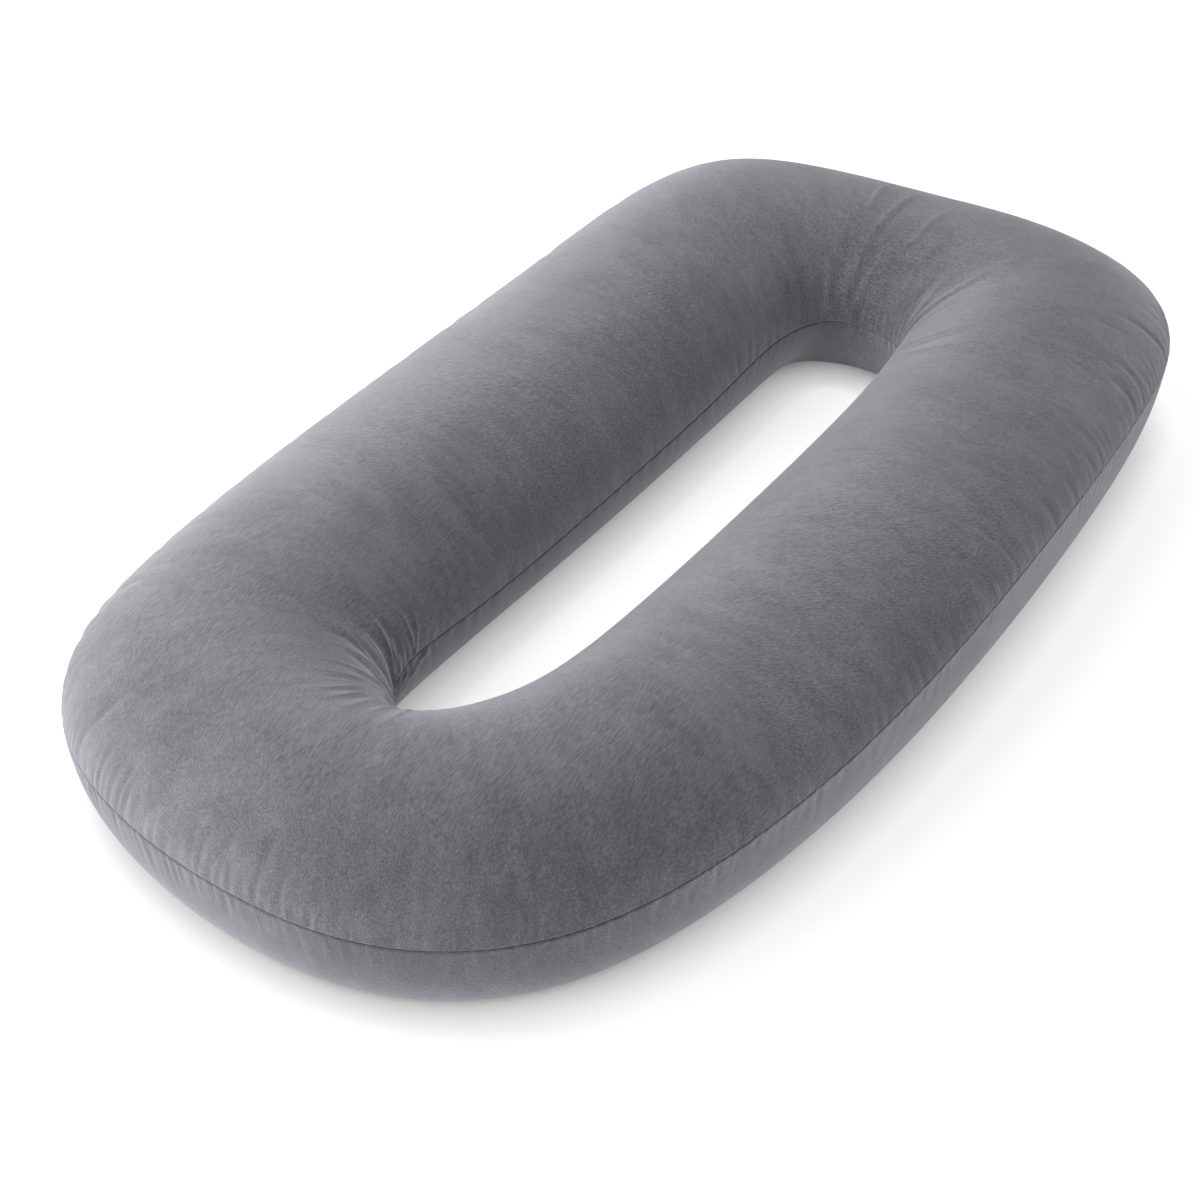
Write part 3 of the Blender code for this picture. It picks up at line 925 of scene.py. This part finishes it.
# ---------------------------------------------------------------------------------------
# Studio
# ---------------------------------------------------------------------------------------
# Azimuths and elevations are in degrees, with 0 on the -Y side and 90 on the +X side.
AIM = Vector((-0.0477, 0.0426, 0.0))
CAMERA_AZIMUTH = -57.345
CAMERA_ELEVATION = 35.417
CAMERA_DISTANCE = 2.979
CAMERA_ANGLE = 23.785
FARTHEST_SEEN = 60

LAMP_COLUMNS = ("name", "azimuth", "elevation", "watts")
LAMPS = (
    ("key low",     -150, 12, 55),
    ("key high",    -160, 65, 29),
    ("left",        -105, 18, 31),
    ("camera side",  -30, 30,  6),
    ("right",         15, 30,  9),
    ("back",         105, 30, 22),
)
LAMP_DISTANCE = 2.6
LAMP_SIZE = 1.6
SKY_STRENGTH = 0.12


def direction(azimuth, elevation):
    """Unit vector towards a place seen at an azimuth and elevation, in degrees."""
    a, e = math.radians(azimuth), math.radians(elevation)
    return Vector((math.sin(a) * math.cos(e), -math.cos(a) * math.cos(e), math.sin(e)))


def add_camera():
    """The camera, which looks down on the pillow across its foot end."""
    camera = bpy.data.objects.new("camera", bpy.data.cameras.new("camera"))
    camera.data.sensor_fit = "HORIZONTAL"
    camera.data.angle = math.radians(CAMERA_ANGLE)
    camera.data.clip_end = FARTHEST_SEEN
    back = direction(CAMERA_AZIMUTH, CAMERA_ELEVATION)
    camera.location = AIM + back * CAMERA_DISTANCE
    camera.rotation_euler = back.to_track_quat("Z", "Y").to_euler()
    bpy.context.scene.collection.objects.link(camera)
    bpy.context.scene.camera = camera


def add_soft_lamp(lamp):
    """A round soft lamp that faces the pillow."""
    p = dict(zip(LAMP_COLUMNS, lamp))
    light = bpy.data.lights.new(p["name"], "AREA")
    light.shape = "DISK"
    light.size = LAMP_SIZE
    light.energy = p["watts"]
    holder = bpy.data.objects.new(p["name"], light)
    towards = direction(p["azimuth"], p["elevation"])
    holder.location = towards * LAMP_DISTANCE
    holder.rotation_euler = towards.to_track_quat("Z", "Y").to_euler()
    bpy.context.scene.collection.objects.link(holder)


def add_studio():
    """The floor, the faint light from all round, and the soft lamps."""
    bpy.ops.mesh.primitive_plane_add(size=FLOOR_SIZE, location=(0, 0, -FLOOR_DROP))
    floor = bpy.context.object
    floor.name = "floor"
    floor.data.materials.append(pale_floor())
    world = bpy.data.worlds.new("studio")
    world.use_nodes = True
    background = world.node_tree.nodes["Background"]
    background.inputs["Color"].default_value = (1, 1, 1, 1)
    background.inputs["Strength"].default_value = SKY_STRENGTH
    bpy.context.scene.world = world
    for lamp in LAMPS:
        add_soft_lamp(lamp)
    view = bpy.context.scene.view_settings
    view.view_transform = "Standard"
    view.look = "None"


# ---------------------------------------------------------------------------------------
# The pillow
# ---------------------------------------------------------------------------------------
TONE = (0.185, 0.178, 0.194)
TONE_BELOW = (0.182, 0.176, 0.191)
PAINTED_FACING_LIGHT = (0.25, 0.12, -0.09)         # painted light: cloth that faces this way is made lighter, the other way darker
PAINTED_FACING_LIGHT_BELOW = (0.40, 0.03, 0.0)
PAINTED_FACING_LIGHT_INSIDE = (0.30, 0.58, 0.0)    # the same on the inner side of the lower panel, where it paints the inner walls darker
MIDDLE = ring_middle()


def add_panel(panel, loops, skin, material):
    """One sewn panel of the pillow, with its turned-in edges."""
    points, normal, cloth = panel_points(panel, loops, skin)
    grid, cloth = with_turned_edges(points, normal, cloth, panel)
    name = panel + "_panel"
    piece = add_piece(name, sheet_mesh(name, grid - MIDDLE, cloth), material)
    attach(piece, "root")
    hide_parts("pillow")


add_camera()
add_studio()
SKIN = Skin()
VELOUR_ABOVE = velour("velour upper", TONE, PAINTED_FACING_LIGHT, PAINTED_FACING_LIGHT)
add_panel("upper", UPPER_LOOPS, SKIN, VELOUR_ABOVE)
VELOUR_BELOW = velour("velour lower", TONE_BELOW, PAINTED_FACING_LIGHT_BELOW, PAINTED_FACING_LIGHT_INSIDE)
add_panel("lower", LOWER_LOOPS, SKIN, VELOUR_BELOW)
